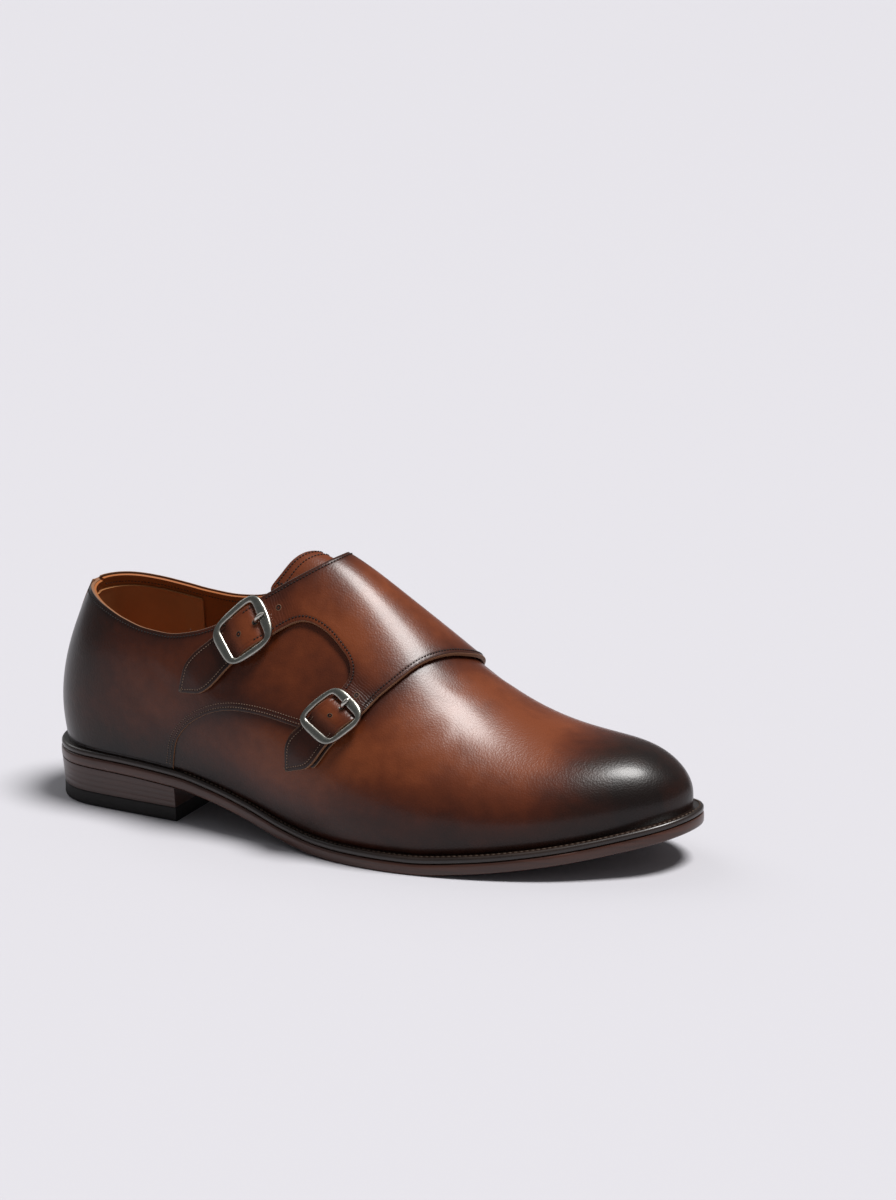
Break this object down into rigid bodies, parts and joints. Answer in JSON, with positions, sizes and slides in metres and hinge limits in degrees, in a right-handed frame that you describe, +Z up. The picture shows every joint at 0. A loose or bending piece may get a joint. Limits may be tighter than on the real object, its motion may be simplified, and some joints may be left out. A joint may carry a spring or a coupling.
{
  "type": "monk strap shoe",
  "caption": "Man's double monk strap shoe, right foot, in burnished brown calf with a stitched leather sole and a stacked heel.",
  "frame": {"origin": "on the floor, under the middle of the heel", "axes": "+X from heel to toe, +Y to the medial side, +Z up"},
  "size_m": [0.3056, 0.104, 0.1225],
  "materials": {
    "calf": "burnished smooth calf, satin",
    "dark_calf": "dark burnished calf, satin",
    "lining_leather": "undyed lining leather, matte",
    "sole_leather": "waxed sole leather, satin",
    "heel_leather": "stacked and waxed heel leather, satin",
    "heel_rubber": "matte",
    "pewter": "antique pewter, polished edges"
  },
  "bodies": {
    "root": {"outsole": "sole_leather", "welt": "sole_leather", "heel_stack": "heel_leather", "top_lift": "heel_rubber", "insole": "lining_leather", "upper": "calf", "tongue": "calf", "strap_flap": "calf", "buckle_upper": "pewter", "buckle_lower": "pewter", "prong_upper": "pewter", "prong_lower": "pewter", "buckle_tab_upper": "dark_calf", "buckle_tab_lower": "dark_calf"}
  },
  "joints": []
}
